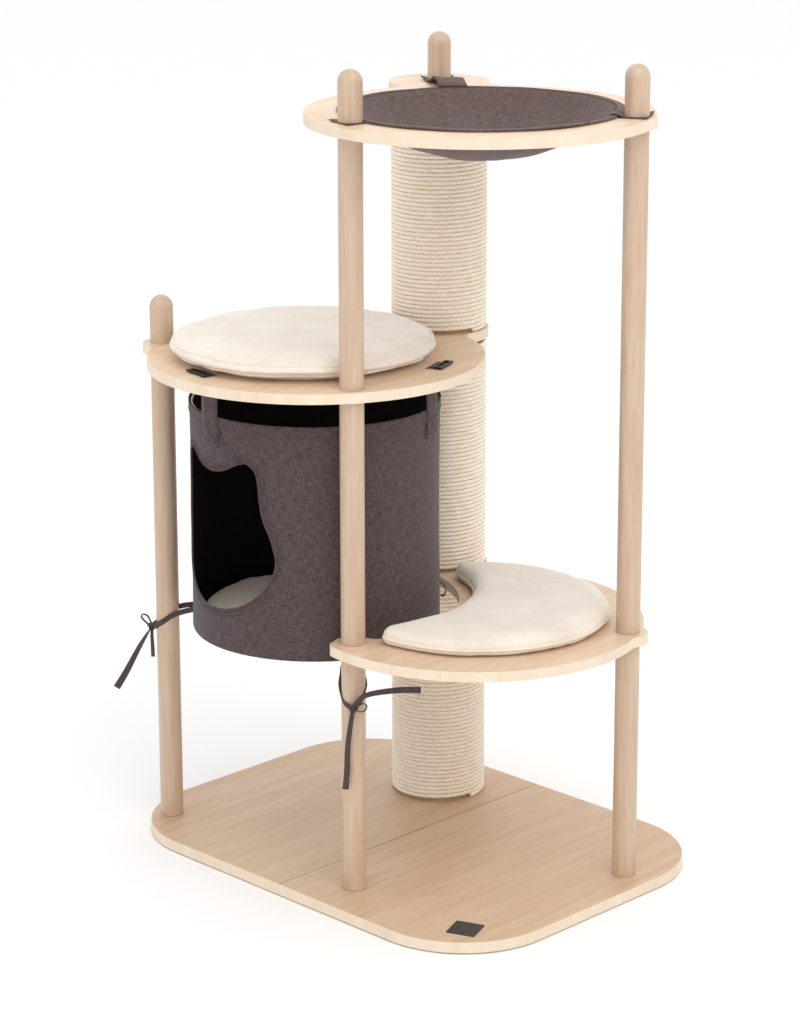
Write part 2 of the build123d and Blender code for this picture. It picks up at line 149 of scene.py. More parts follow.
# %% Shader helpers
def add(tree, kind, sockets=None, **settings):
    """A new node; sockets maps an input's name or number to a value or an output."""
    made = tree.nodes.new(kind)
    for key, value in settings.items():
        setattr(made, key, value)
    for key, value in (sockets or {}).items():
        if isinstance(value, bpy.types.NodeSocket):
            tree.links.new(value, made.inputs[key])
        else:
            made.inputs[key].default_value = value
    return made


def number(tree, operation, *values):
    """One Math node, whose inputs are numbers or outputs."""
    sockets = dict(enumerate(values))
    return add(tree, "ShaderNodeMath", sockets, operation=operation).outputs[0]


def new_group(name, inputs, outputs):
    tree = bpy.data.node_groups.new(name, "ShaderNodeTree")
    for label, kind, value in inputs:
        socket = tree.interface.new_socket(label, in_out="INPUT", socket_type=kind)
        if value is not None:
            socket.default_value = value
    for label in outputs:
        tree.interface.new_socket(label, in_out="OUTPUT", socket_type="NodeSocketFloat")
    return tree, tree.nodes.new("NodeGroupInput"), tree.nodes.new("NodeGroupOutput")


def stretched_noise(tree, vector, scale, detail=2.0, roughness=0.5):
    """Noise drawn out along the axes where the scale is small."""
    mapped = add(tree, "ShaderNodeMapping", {"Vector": vector, "Scale": scale})
    sockets = {"Vector": mapped.outputs[0], "Scale": 1.0, "Detail": detail}
    sockets["Roughness"] = roughness
    return add(tree, "ShaderNodeTexNoise", sockets).outputs["Fac"]


def ramp(tree, factor, stops):
    """A colour ramp with (place, colour) stops."""
    made = add(tree, "ShaderNodeValToRGB", {"Fac": factor})
    points = made.color_ramp.elements
    while len(points) < len(stops):
        points.new(0.5)
    for point, (place, tone) in zip(points, stops):
        point.position = place
        point.color = tone
    return made.outputs["Color"]


def new_finish(name, roughness, vector_kind="Object"):
    """A material with a Principled shader and a coordinate output to build on."""
    finish = bpy.data.materials.new(name)
    finish.use_nodes = True
    tree = finish.node_tree
    shader = tree.nodes["Principled BSDF"]
    shader.inputs["Roughness"].default_value = roughness
    place = tree.nodes.new("ShaderNodeTexCoord").outputs[vector_kind]
    return finish, tree, shader, place


def bumped(tree, shader, height, strength, distance):
    sockets = {"Height": height, "Strength": strength, "Distance": distance}
    bump = add(tree, "ShaderNodeBump", sockets)
    tree.links.new(bump.outputs["Normal"], shader.inputs["Normal"])


print("shader helpers ready")

# %% [markdown]
# ## Wood
# The boards are faced with a pale oak pattern that runs front to back.  Grain is noise
# stretched along one axis: long soft bands for the figure, and short thin dashes for the
# pores.  The posts are solid beech, turned and lacquered: fine upright lines and small
# darker flecks.  One group makes both, with the grain's direction chosen by its input
# vector.

# %% Grain group
grain_tree, grain_in, grain_out = new_group(
    "wood_grain",
    [
        ("Vector", "NodeSocketVector", None),
        ("Band Width", "NodeSocketFloat", 0.02),
        ("Pore Width", "NodeSocketFloat", 0.001),
    ],
    ["Figure", "Pores"],
)


def grain_noise(width, length_ratio, detail):
    """Noise whose cells are the width across the grain and far longer along it."""
    across = number(grain_tree, "DIVIDE", 1.0, width)
    along = number(grain_tree, "DIVIDE", across, length_ratio)
    scale = add(grain_tree, "ShaderNodeCombineXYZ", {"X": across, "Y": across, "Z": along})
    sockets = {0: grain_in.outputs["Vector"], 1: scale.outputs[0]}
    mapped = add(grain_tree, "ShaderNodeVectorMath", sockets, operation="MULTIPLY")
    sockets = {"Vector": mapped.outputs[0], "Scale": 1.0, "Detail": detail}
    return add(grain_tree, "ShaderNodeTexNoise", sockets).outputs["Fac"]


figure = grain_noise(grain_in.outputs["Band Width"], 14.0, 3.0)
pores = grain_noise(grain_in.outputs["Pore Width"], 24.0, 1.0)
grain_tree.links.new(figure, grain_out.inputs["Figure"])
grain_tree.links.new(pores, grain_out.inputs["Pores"])
print("group", grain_tree.name)


# %% Wood finishes
def wood_finish(name, turn, band, pore, tones, roughness, coat):
    """Grain runs along Z after the turn; tones go from dark to light."""
    finish, tree, shader, place = new_finish(name, roughness)
    turned = add(tree, "ShaderNodeMapping", {"Vector": place, "Rotation": turn})
    sockets = {"Vector": turned.outputs[0], "Band Width": band, "Pore Width": pore}
    grain = add(tree, "ShaderNodeGroup", sockets, node_tree=grain_tree)
    pore_dark = number(tree, "MULTIPLY", grain.outputs["Pores"], 0.45)
    mixed = number(tree, "ADD", number(tree, "MULTIPLY", grain.outputs["Figure"], 0.75), pore_dark)
    stops = [(0.36, tones[0]), (0.58, tones[1]), (0.8, tones[2])]
    tree.links.new(ramp(tree, mixed, stops), shader.inputs["Base Color"])
    rough = number(tree, "MULTIPLY_ADD", grain.outputs["Pores"], 0.18, roughness - 0.09)
    tree.links.new(rough, shader.inputs["Roughness"])
    bumped(tree, shader, grain.outputs["Pores"], 0.12, 0.0003)
    shader.inputs["Coat Weight"].default_value = coat
    shader.inputs["Coat Roughness"].default_value = 0.35
    return finish


ALONG_DEPTH = (math.radians(90), 0, 0)
UPRIGHT = (0, 0, 0)
BOARD_TONES = (colour(210, 179, 149), colour(221, 193, 165), colour(229, 205, 180))
# Painted shade: the base boards are the shelves' oak, given darker tones for the shade the base sits in.
BASE_SHADED_TONES = (colour(191, 159, 128), colour(200, 170, 141), colour(208, 182, 155))
BEECH_TONES = (colour(184, 155, 130), colour(193, 167, 143), colour(200, 177, 155))
STRIP_TONES = (colour(218, 199, 175), colour(225, 207, 184), colour(230, 214, 193))
PLAIN_TONES = (colour(176, 142, 100), colour(200, 168, 124), colour(214, 186, 146))
oak = wood_finish("oak_board", ALONG_DEPTH, 0.014, 0.0011, BOARD_TONES, 0.46, 0.0)
shaded_base_oak = wood_finish("base_board_painted_shade", ALONG_DEPTH, 0.014, 0.0011, BASE_SHADED_TONES, 0.5, 0.0)
beech = wood_finish("beech", UPRIGHT, 0.007, 0.0009, BEECH_TONES, 0.4, 0.15)
strip = wood_finish("edge_strip", UPRIGHT, 0.03, 0.0014, STRIP_TONES, 0.5, 0.0)
plain_wood = wood_finish("plain_wood", UPRIGHT, 0.02, 0.0012, PLAIN_TONES, 0.6, 0.0)
print("wood finishes made")

# %% [markdown]
# The base is two boards.  Their meeting edges are slightly eased into a fine groove, and the
# shade in it is painted: the base's own material darkens the last millimetre beside the join.

# %% Painted shade along the join in the base boards
tree = shaded_base_oak.node_tree
shader = tree.nodes["Principled BSDF"]
wood_colour = shader.inputs["Base Color"].links[0].from_socket
place = tree.nodes.new("ShaderNodeTexCoord").outputs["Object"]
across = add(tree, "ShaderNodeSeparateXYZ", {"Vector": place}).outputs["X"]
# Painted shade: a millimetre either side of the join is darkened for the shade in its groove.
beside = number(tree, "LESS_THAN", number(tree, "ABSOLUTE", across), 1.1 * MM)
shade = number(tree, "MULTIPLY_ADD", beside, -0.45, 1.0)
darker = add(tree, "ShaderNodeVectorMath", {0: wood_colour, 3: shade}, operation="SCALE")
tree.links.new(darker.outputs[0], shader.inputs["Base Color"])
print("join darkened")

# %% [markdown]
# ## Mottle, for the small hidden pieces
# Metal, card, rubber and pressed board are never one flat tone.  One mottle group gives a
# slow stain and a fine speckle, and each material decides how far to use them.

# %% Mottle group and the plain finishes
mottle_tree, mottle_in, mottle_out = new_group(
    "mottle",
    [("Vector", "NodeSocketVector", None), ("Speck Size", "NodeSocketFloat", 0.001)],
    ["Stain", "Speck"],
)
fine = number(mottle_tree, "DIVIDE", 1.0, mottle_in.outputs["Speck Size"])
coarse = number(mottle_tree, "DIVIDE", fine, 25.0)
for label, scale in (("Speck", fine), ("Stain", coarse)):
    sockets = {"Vector": mottle_in.outputs["Vector"], "Scale": scale, "Detail": 2.0}
    spot = add(mottle_tree, "ShaderNodeTexNoise", sockets)
    mottle_tree.links.new(spot.outputs["Fac"], mottle_out.inputs[label])


def plain_finish(name, dark, light, roughness, speck, metallic=0.0, relief=0.0002):
    finish, tree, shader, place = new_finish(name, roughness)
    sockets = {"Vector": place, "Speck Size": speck}
    mottle = add(tree, "ShaderNodeGroup", sockets, node_tree=mottle_tree)
    mixed = number(tree, "MULTIPLY", mottle.outputs["Speck"], 0.5)
    mixed = number(tree, "MULTIPLY_ADD", mottle.outputs["Stain"], 0.5, mixed)
    tone = ramp(tree, mixed, [(0.35, dark), (0.65, light)])
    tree.links.new(tone, shader.inputs["Base Color"])
    rough = number(tree, "MULTIPLY_ADD", mottle.outputs["Stain"], 0.2, roughness - 0.1)
    tree.links.new(rough, shader.inputs["Roughness"])
    bumped(tree, shader, mottle.outputs["Speck"], 0.3, relief)
    shader.inputs["Metallic"].default_value = metallic
    return finish


card = plain_finish("card_tube", colour(150, 126, 92), colour(178, 152, 116), 0.85, 0.0012)
pressed = plain_finish("fibre_board", colour(112, 86, 58), colour(140, 112, 80), 0.85, 0.0009)
zinc = plain_finish("zinc_steel", colour(150, 152, 156), colour(186, 188, 192), 0.35, 0.002, 1.0)
rubber = plain_finish("foot_pad", colour(26, 26, 27), colour(42, 42, 43), 0.8, 0.0006)
label_black = plain_finish("label_patch", colour(22, 21, 22), colour(36, 34, 34), 0.45, 0.0005)
slide_black = plain_finish("slide_metal", colour(34, 30, 28), colour(62, 56, 50), 0.32, 0.0015, 0.6)
print("plain finishes made")

# %% [markdown]
# ## Cloth
# The den and hammock are a linen-look cloth: threads of uneven thickness cross at right
# angles, so short darker and lighter slubs run both ways.  Each direction is a noise drawn
# out along the thread.  The weave reads the piece's own UV map, which holds real metres, so
# the threads keep their size when the cloth is wrapped or bent.

# %% Weave group and cloth finishes
weave_tree, weave_in, weave_out = new_group(
    "linen_weave",
    [
        ("Vector", "NodeSocketVector", None),
        ("Thread", "NodeSocketFloat", 0.0009),
        ("Slub", "NodeSocketFloat", 12.0),
    ],
    ["Tone", "Height"],
)


def thread_noise(along_x):
    """Uneven threads: noise one thread wide and many threads long."""
    across = number(weave_tree, "DIVIDE", 1.0, weave_in.outputs["Thread"])
    along = number(weave_tree, "DIVIDE", across, weave_in.outputs["Slub"])
    pair = (along, across) if along_x else (across, along)
    sockets = {"X": pair[0], "Y": pair[1], "Z": across}
    scale = add(weave_tree, "ShaderNodeCombineXYZ", sockets)
    sockets = {0: weave_in.outputs["Vector"], 1: scale.outputs[0]}
    mapped = add(weave_tree, "ShaderNodeVectorMath", sockets, operation="MULTIPLY")
    sockets = {"Vector": mapped.outputs[0], "Scale": 1.0, "Detail": 1.0}
    return add(weave_tree, "ShaderNodeTexNoise", sockets).outputs["Fac"]


weft = thread_noise(True)
warp = thread_noise(False)
both = number(weave_tree, "MULTIPLY", number(weave_tree, "ADD", weft, warp), 0.5)
crest = number(weave_tree, "MAXIMUM", weft, warp)
weave_tree.links.new(both, weave_out.inputs["Tone"])
weave_tree.links.new(crest, weave_out.inputs["Height"])


def cloth_finish(name, dark, middle, light, coordinates="UV", thread=0.0010, sheen=0.12):
    finish, tree, shader, place = new_finish(name, 0.92, coordinates)
    sockets = {"Vector": place, "Thread": thread}
    weave = add(tree, "ShaderNodeGroup", sockets, node_tree=weave_tree)
    stops = [(0.34, dark), (0.5, middle), (0.66, light)]
    tree.links.new(ramp(tree, weave.outputs["Tone"], stops), shader.inputs["Base Color"])
    bumped(tree, shader, weave.outputs["Height"], 0.5, 0.0006)
    shader.inputs["Sheen Weight"].default_value = sheen
    shader.inputs["Sheen Roughness"].default_value = 0.5
    shader.inputs["Specular IOR Level"].default_value = 0.25
    return finish


den_linen = cloth_finish(
    "den_cloth", colour(52, 42, 43), colour(77, 64, 65), colour(99, 85, 86), thread=0.0011
)
# Painted shade: the inside of the drum gets a near-black cloth finish for the dark inside of the closed
# den.
inner_painted_shade = cloth_finish("den_inside_painted_shade", colour(9, 8, 8), colour(14, 12, 12), colour(20, 18, 18), sheen=0.0)
hammock_linen = cloth_finish(
    "hammock_cloth", colour(75, 62, 59), colour(98, 81, 78), colour(117, 99, 95), thread=0.0011
)
ribbon_cloth = cloth_finish(
    "tie_ribbon", colour(50, 40, 40), colour(76, 63, 62), colour(98, 83, 82), "Object", 0.0008
)
thread_finish = cloth_finish(
    "sewing_thread", colour(48, 38, 38), colour(66, 54, 54), colour(84, 70, 70), "Object", 0.0004
)
print("cloth finishes made")

# %% [markdown]
# ## Plush
# Short cream plush: fibres a millimetre or two long that lie in brushed patches.  A fine
# noise raises the pile, a slow one shifts the tone where a hand has stroked it, and a sheen
# layer lightens the edges as fibre tips do.

# %% Plush finish
plush, plush_nodes, plush_shader, plush_place = new_finish("cream_plush", 0.95)
pile = stretched_noise(plush_nodes, plush_place, (700, 700, 700), 3.0, 0.7)
brushed = stretched_noise(plush_nodes, plush_place, (17, 17, 17), 2.0)
tuft = stretched_noise(plush_nodes, plush_place, (150, 150, 150), 2.0)
tone = number(plush_nodes, "MULTIPLY", pile, 0.35)
tone = number(plush_nodes, "MULTIPLY_ADD", brushed, 0.45, tone)
tone = number(plush_nodes, "MULTIPLY_ADD", tuft, 0.20, tone)
PLUSH_STOPS = [
    (0.36, colour(221, 209, 193)),
    (0.52, colour(231, 221, 208)),
    (0.68, colour(237, 229, 218)),
]
plush_nodes.links.new(ramp(plush_nodes, tone, PLUSH_STOPS), plush_shader.inputs["Base Color"])
relief = number(plush_nodes, "MULTIPLY_ADD", tuft, 0.6, pile)
bumped(plush_nodes, plush_shader, relief, 0.35, 0.0012)
plush_shader.inputs["Sheen Weight"].default_value = 0.5
plush_shader.inputs["Sheen Roughness"].default_value = 0.6
plush_shader.inputs["Specular IOR Level"].default_value = 0.2
print("plush made")

# %% [markdown]
# ## Sisal
# The rope is real geometry, one turn after another.  Its twist is too fine for that, so the
# material draws it: a wave that leans across each turn, from the angle round the column and
# the height.  The count of strands in a turn is whole, so the pattern closes on itself.

# %% Sisal finish
ROPE_WIDTH = 6.5 * MM
COLUMN_LOW, COLUMN_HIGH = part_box("column_rope_upper")
column_axis = (COLUMN_LOW + COLUMN_HIGH) / 2
sisal, sisal_nodes, sisal_shader, sisal_place = new_finish("sisal_rope", 0.9)
sockets = {"Vector": sisal_place, "Location": (-column_axis.x, -column_axis.y, 0)}
centred = add(sisal_nodes, "ShaderNodeMapping", sockets).outputs[0]
axes = add(sisal_nodes, "ShaderNodeSeparateXYZ", {"Vector": centred})
around = number(sisal_nodes, "ARCTAN2", axes.outputs["Y"], axes.outputs["X"])
STRANDS_PER_TURN = 96
lean = number(sisal_nodes, "MULTIPLY", axes.outputs["Z"], 2 * math.pi / ROPE_WIDTH * 0.8)
phase = number(sisal_nodes, "MULTIPLY_ADD", around, STRANDS_PER_TURN, lean)
fibre = stretched_noise(sisal_nodes, centred, (420, 420, 900), 2.0)
phase = number(sisal_nodes, "MULTIPLY_ADD", fibre, 2.6, phase)
strand = number(sisal_nodes, "MULTIPLY_ADD", number(sisal_nodes, "SINE", phase), 0.5, 0.5)
stain = stretched_noise(sisal_nodes, centred, (60, 60, 240), 3.0)
fleck = stretched_noise(sisal_nodes, centred, (260, 260, 700), 1.0)
# The strand wave sets the colour as well as the bump: the valleys between strands are painted shade and the
# ridges a painted highlight; stain and fleck are the fibre's own tone.
tone = number(sisal_nodes, "MULTIPLY", strand, 0.42)
tone = number(sisal_nodes, "MULTIPLY_ADD", stain, 0.33, tone)
tone = number(sisal_nodes, "MULTIPLY_ADD", fleck, 0.25, tone)
SISAL_STOPS = [
    (0.22, colour(212, 190, 160)),
    (0.38, colour(243, 229, 208)),
    (0.6, colour(250, 240, 224)),
    (0.8, colour(254, 248, 238)),
]
sisal_nodes.links.new(ramp(sisal_nodes, tone, SISAL_STOPS), sisal_shader.inputs["Base Color"])
height = number(sisal_nodes, "MULTIPLY_ADD", fibre, 0.35, strand)
bumped(sisal_nodes, sisal_shader, height, 0.45, 0.0012)
sisal_shader.inputs["Sheen Weight"].default_value = 0.2
sisal_shader.inputs["Specular IOR Level"].default_value = 0.25
print("sisal made, axis at", [round(v, 3) for v in column_axis])

# %% [markdown]
# ## Dress the CAD nodes
# A rigid CAD piece keeps its mesh and only gets a better material in its slots.  The
# record's slot name picks the material.

# %% Materials on the CAD nodes
FINISHES = {
    "oak_board": oak,
    "edge_strip": strip,
    "beech": beech,
    "plain_wood": plain_wood,
    "card_tube": card,
    "fibre_board": pressed,
    "zinc_steel": zinc,
    "foot_pad": rubber,
    "label_patch": label_black,
    "slide_metal": slide_black,
    "sisal_rope": sisal,
    "den_cloth": den_linen,
    "hammock_cloth": hammock_linen,
    "tie_ribbon": ribbon_cloth,
    "cream_plush": plush,
}
for part in frame["record"]["subparts"]:
    mesh = nodes[part["node"]].data
    # Base panels take the darker copy of the oak, which is painted shade.
    finish = shaded_base_oak if part["node"].startswith("base_panel") else FINISHES[part["material_slot"]]
    for index in range(len(mesh.materials)):
        mesh.materials[index] = finish

# %% [markdown]
# ## Making a piece
# Every new piece ends the same way: the bmesh becomes a mesh, gets its material, rides on a
# CAD body and hides the CAD nodes it replaces.

# %% Piece helpers
def finish_piece(name, bm, slot, material=None, body="frame", stands_for=()):
    bmesh.ops.recalc_face_normals(bm, faces=bm.faces)
    mesh = bpy.data.meshes.new(name)
    bm.to_mesh(mesh)
    bm.free()
    mesh.shade_smooth()
    mesh.materials.append(material or FINISHES[slot])
    piece = bpy.data.objects.new(name, mesh)
    bpy.context.scene.collection.objects.link(piece)
    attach(piece, body)
    if stands_for:
        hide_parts(*stands_for)
    return piece


def apply_modifiers(piece):
    """The piece's mesh becomes what its modifiers make of it, and they are removed."""
    graph = bpy.context.evaluated_depsgraph_get()
    made = bpy.data.meshes.new_from_object(piece.evaluated_get(graph))
    piece.modifiers.clear()
    old = piece.data
    piece.data = made
    bpy.data.meshes.remove(old)


def thicken(piece, thickness, offset=0.0, even=True):
    """Cloth has two faces: Solidify gives a sheet its thickness."""
    wall = piece.modifiers.new("thickness", "SOLIDIFY")
    wall.thickness = thickness
    wall.offset = offset
    wall.use_even_offset = even
    return wall


def soften(piece, levels=1):
    smooth = piece.modifiers.new("soften", "SUBSURF")
    smooth.levels = levels
    smooth.render_levels = levels
    return smooth


def smooth_line(points, closed=False, per_span=8):
    """Points along a NURBS line drawn through its control points, read from Blender's curve."""
    data = bpy.data.curves.new("line", "CURVE")
    data.dimensions = "3D"
    spline = data.splines.new("NURBS")
    spline.points.add(len(points) - 1)
    for control, point in zip(spline.points, points):
        control.co = (*point, 1.0)
    spline.order_u = 3
    spline.use_cyclic_u = closed
    spline.use_endpoint_u = not closed
    spline.resolution_u = per_span
    holder = bpy.data.objects.new("line", data)
    mesh = bpy.data.meshes.new_from_object(holder)
    line = [v.co.copy() for v in mesh.vertices]
    bpy.data.objects.remove(holder)
    bpy.data.curves.remove(data)
    bpy.data.meshes.remove(mesh)
    return line


def ribbon(bm, line, sides, half_widths, cup=0.0):
    """Extrudes a short row of edges along a line; sides point across the ribbon."""
    count = len(line)
    offsets = (-1.0, -0.5, 0.0, 0.5, 1.0)

    def place(k, offset):
        ahead = line[min(k + 1, count - 1)] - line[max(k - 1, 0)]
        side = sides[k] - ahead.normalized() * sides[k].dot(ahead.normalized())
        side.normalize()
        normal = side.cross(ahead.normalized())
        lift = normal * cup * half_widths[k] * offset * offset
        return line[k] + side * (offset * half_widths[k]) + lift

    row = [bm.verts.new(place(0, offset)) for offset in offsets]
    edges = [bm.edges.new(pair) for pair in zip(row, row[1:])]
    for k in range(1, count):
        made = bmesh.ops.extrude_edge_only(bm, edges=edges)["geom"]
        fresh = [g for g in made if isinstance(g, bmesh.types.BMVert)]
        row = [min(fresh, key=lambda v, old=old: (v.co - old.co).length) for old in row]
        edges = [e for e in made if isinstance(e, bmesh.types.BMEdge)]
        edges = [e for e in edges if all(v in row for v in e.verts)]
        for vert, offset in zip(row, offsets):
            vert.co = place(k, offset)


def tube_mesh(line, radius, closed, flat=1.0, segments=8):
    """A round tube along a line, as a bmesh."""
    data = bpy.data.curves.new("tube", "CURVE")
    data.dimensions = "3D"
    data.bevel_depth = radius
    data.bevel_resolution = max(segments // 4 - 1, 0)
    data.use_fill_caps = not closed
    spline = data.splines.new("POLY")
    spline.points.add(len(line) - 1)
    for control, point in zip(spline.points, line):
        control.co = (*point, 1.0)
    spline.use_cyclic_u = closed
    holder = bpy.data.objects.new("tube", data)
    mesh = bpy.data.meshes.new_from_object(holder)
    bm = bmesh.new()
    bm.from_mesh(mesh)
    bmesh.ops.remove_doubles(bm, verts=bm.verts, dist=1e-6)
    bpy.data.objects.remove(holder)
    bpy.data.curves.remove(data)
    bpy.data.meshes.remove(mesh)
    return bm


def blend_between(a, b, share):
    return a + (b - a) * share


def heading(turn):
    """The level direction at a turn from +X."""
    return Vector((math.cos(turn), math.sin(turn), 0))


print("piece helpers ready")

# %% [markdown]
# ## Rope column
# The real column is wound with one long sisal rope.  A small ring beside the axis, spun
# round it while it climbs one rope width a turn, makes exactly that.

# %% Rope windings
ROPE_STEPS = 64


def one_turn(axis, outer, low, climb):
    """A ring beside the axis, spun once round it while it climbs one pitch."""
    bm = bmesh.new()
    ring = bmesh.ops.create_circle(bm, radius=ROPE_WIDTH / 2, segments=8)["verts"]
    bmesh.ops.rotate(bm, verts=ring, matrix=Matrix.Rotation(math.radians(90), 3, "X"))
    start = Vector((axis.x + outer - ROPE_WIDTH / 2, axis.y, low + ROPE_WIDTH / 2))
    bmesh.ops.translate(bm, verts=ring, vec=start)
    bmesh.ops.spin(
        bm,
        geom=bm.verts[:] + bm.edges[:],
        cent=(axis.x, axis.y, 0),
        axis=UP,
        dvec=(0, 0, climb / ROPE_STEPS),
        angle=2 * math.pi,
        steps=ROPE_STEPS,
        use_merge=False,
    )
    return bm


def wind(section):
    """One card tube's winding: one turn, repeated up the tube and joined end to end."""
    node = "column_rope_" + section
    low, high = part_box(node)
    turns = round((high.z - low.z - ROPE_WIDTH) / ROPE_WIDTH)
    climb = (high.z - low.z - ROPE_WIDTH) / turns
    bm = one_turn(column_axis, (high.x - low.x) / 2, low.z, climb)
    winding = finish_piece("rope_" + section, bm, "sisal_rope", stands_for=(node,))
    copies = winding.modifiers.new("turns", "ARRAY")
    copies.count = turns
    copies.use_relative_offset = False
    copies.use_constant_offset = True
    copies.constant_offset_displace = (0, 0, climb)
    copies.use_merge_vertices = True
    copies.merge_threshold = 1e-5
    apply_modifiers(winding)
    bm = bmesh.new()
    bm.from_mesh(winding.data)
    bmesh.ops.remove_doubles(bm, verts=bm.verts, dist=1e-5)
    bmesh.ops.holes_fill(bm, edges=[e for e in bm.edges if e.is_boundary], sides=8)
    bmesh.ops.recalc_face_normals(bm, faces=bm.faces)
    for vert in bm.verts:
        vert.co.z += noise.noise(vert.co * 55.0) * 0.35 * MM
    bm.to_mesh(winding.data)
    bm.free()
    winding.data.shade_smooth()
    print(node, turns, "turns,", round(climb / MM, 2), "mm each,", len(winding.data.polygons), "faces")
    return winding


for section in ("lower", "middle", "upper"):
    wind(section)

# %% [markdown]
# ## Cushions
# A plush pad is a soft bag with a little wadding.  Its CAD solid is drawn in slightly, given
# an even net of small faces, and blown up by cloth simulation with no gravity.  Every point
# may move only a few millimetres, and the underside stays flat on the board.

# %% Cushion helper
DRAWN_IN = 2 * MM
PRESSURE = 3.0
NET_SIZE = 5 * MM
FRAMES = 20


def plump(node, reach, uneven, seed):
    """The CAD pad as a soft one: drawn in, remeshed, inflated, capped and applied."""
    name = node + "_plush"
    bm = bmesh.new()
    bm.from_mesh(nodes[node].data)
    bmesh.ops.remove_doubles(bm, verts=bm.verts, dist=1e-5)
    bmesh.ops.recalc_face_normals(bm, faces=bm.faces)
    floor_level = min(v.co.z for v in bm.verts)
    mesh = bpy.data.meshes.new(name)
    bm.to_mesh(mesh)
    bm.free()
    pad = bpy.data.objects.new(name, mesh)
    bpy.context.scene.collection.objects.link(pad)
    net = pad.modifiers.new("net", "REMESH")
    net.mode = "VOXEL"
    net.voxel_size = NET_SIZE
    apply_modifiers(pad)
    bm = bmesh.new()
    bm.from_mesh(pad.data)
    bm.normal_update()
    for vert in bm.verts:
        vert.co -= vert.normal * DRAWN_IN
    for vert in bm.verts:
        outward = Vector((vert.normal.x, vert.normal.y, 0))
        wave = noise.noise(Vector((vert.co.x * 14, vert.co.y * 14, seed)))
        vert.co += outward * wave * uneven
    every_axis = {"use_axis_x": True, "use_axis_y": True, "use_axis_z": True}
    bmesh.ops.smooth_vert(bm, verts=bm.verts, factor=0.5, **every_axis)
    bm.to_mesh(pad.data)
    bm.free()
    rest = [v.co.copy() for v in pad.data.vertices]
    cloth = pad.modifiers.new("air", "CLOTH")
    cloth.settings.use_pressure = True
    cloth.settings.uniform_pressure_force = PRESSURE
    cloth.settings.effector_weights.gravity = 0.0
    cloth.settings.quality = 5
    cloth.settings.mass = 0.3
    cloth.settings.tension_stiffness = 15.0
    cloth.settings.bending_stiffness = 0.3
    cloth.point_cache.frame_start = 1
    cloth.point_cache.frame_end = FRAMES
    for step in range(1, FRAMES + 1):
        bpy.context.scene.frame_set(step)
    apply_modifiers(pad)
    bpy.context.scene.frame_set(1)
    for vert, co in zip(pad.data.vertices, rest):
        move = vert.co - co
        if move.length > reach:
            move.length = reach
        vert.co = co + move
        vert.co.z = max(vert.co.z, floor_level)
    soften(pad)
    apply_modifiers(pad)
    pad.data.shade_smooth()
    pad.data.materials.append(plush)
    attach(pad, node)
    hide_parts(node)
    print(name, len(pad.data.polygons), "faces")
    return pad


print("cushion helper ready")

# %% The three pads
round_pad = plump("round_cushion", reach=5 * MM, uneven=3 * MM, seed=1.7)
moon_pad = plump("crescent_cushion", reach=5 * MM, uneven=2 * MM, seed=5.2)
den_mat = plump("den_pad", reach=4 * MM, uneven=1 * MM, seed=9.4)

# %% [markdown]
# ## Piping
# Where two panels of plush meet, the seam shows as a slim rolled line.  A level cut through
# the finished pad gives that line exactly, so the piping follows every small wave.

# %% Piping round a pad
def piping(pad, name, body, level, radius):
    """A thin tube along the line where a level plane cuts the pad."""
    bm = bmesh.new()
    bm.from_mesh(pad.data)
    geometry = bm.verts[:] + bm.edges[:] + bm.faces[:]
    cut = bmesh.ops.bisect_plane(bm, geom=geometry, plane_co=(0, 0, level), plane_no=UP)
    edges = [g for g in cut["geom_cut"] if isinstance(g, bmesh.types.BMEdge)]
    links = {}
    for edge in edges:
        for a, b in (edge.verts, reversed(edge.verts)):
            links.setdefault(a, []).append(b)
    start = max(links, key=lambda v: v.co.x)
    line = [start]
    ahead = links[start][0]
    while ahead is not start:
        line.append(ahead)
        onward = [v for v in links[ahead] if v is not line[-2]]
        ahead = onward[0]
    points = [v.co.copy() for v in line]
    bm.free()
    kept = [points[0]]
    for point in points[1:]:
        if (point - kept[-1]).length > 5 * MM:
            kept.append(point)
    tube = tube_mesh(smooth_line(kept, closed=True, per_span=2), radius, True)
    return finish_piece(name, tube, "cream_plush", body=body)


pad_low, pad_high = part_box("round_cushion")
piping(round_pad, "round_cushion_top_piping", "round_cushion", pad_high.z - 6 * MM, 2.0 * MM)
piping(round_pad, "round_cushion_low_piping", "round_cushion", pad_low.z + 11 * MM, 2.0 * MM)
moon_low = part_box("crescent_cushion")[0]
piping(moon_pad, "crescent_cushion_piping", "crescent_cushion", moon_low.z + 11 * MM, 2.0 * MM)
mat_low, mat_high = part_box("den_pad")
piping(den_mat, "den_pad_piping", "den_pad", (mat_low.z + mat_high.z) / 2, 1.5 * MM)
print("piping made")

# %% [markdown]
# ## Hammock
# One round cloth hangs by its rim on the top shelf and is held at three pegs.  A bent line
# spun round the bowl's axis gives the sheet; small pulls towards the pegs and a few slack
# folds between them break its evenness, as a hung cloth does.  The weave follows the flat
# cut, so the UV map is simply the plan.

# %% Hammock bowl
HAMMOCK_NODE = "hammock"
shelf_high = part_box("top_shelf")[1]
bowl_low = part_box(HAMMOCK_NODE)[0]
HAMMOCK_AXIS = Vector((0.133, 0.002, 0))
HOLE_REACH = 187 * MM
RIM_REACH = 202 * MM
pegs = [sum(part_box(side + "_finial"), Vector()) / 2 for side in ("front", "right", "back")]
PEG_TURNS = [math.atan2(peg.y - HAMMOCK_AXIS.y, peg.x - HAMMOCK_AXIS.x) for peg in pegs]
seat = shelf_high.z + 0.9 * MM
sag = seat - bowl_low.z - 1.2 * MM


def bowl_height(share):
    """The bowl's section: shallow and round, steepest just inside the rim."""
    return seat - sag * (1 - share ** 2.3) ** 0.9 if share < 1 else seat


def write_uv(bm, place):
    """A UV map in real metres, from a rule that turns a point into two numbers."""
    layer = bm.loops.layers.uv.new("cloth")
    for face in bm.faces:
        for loop in face.loops:
            loop[layer].uv = place(loop.vert.co)


def in_plan(point):
    return (point.x, point.y)


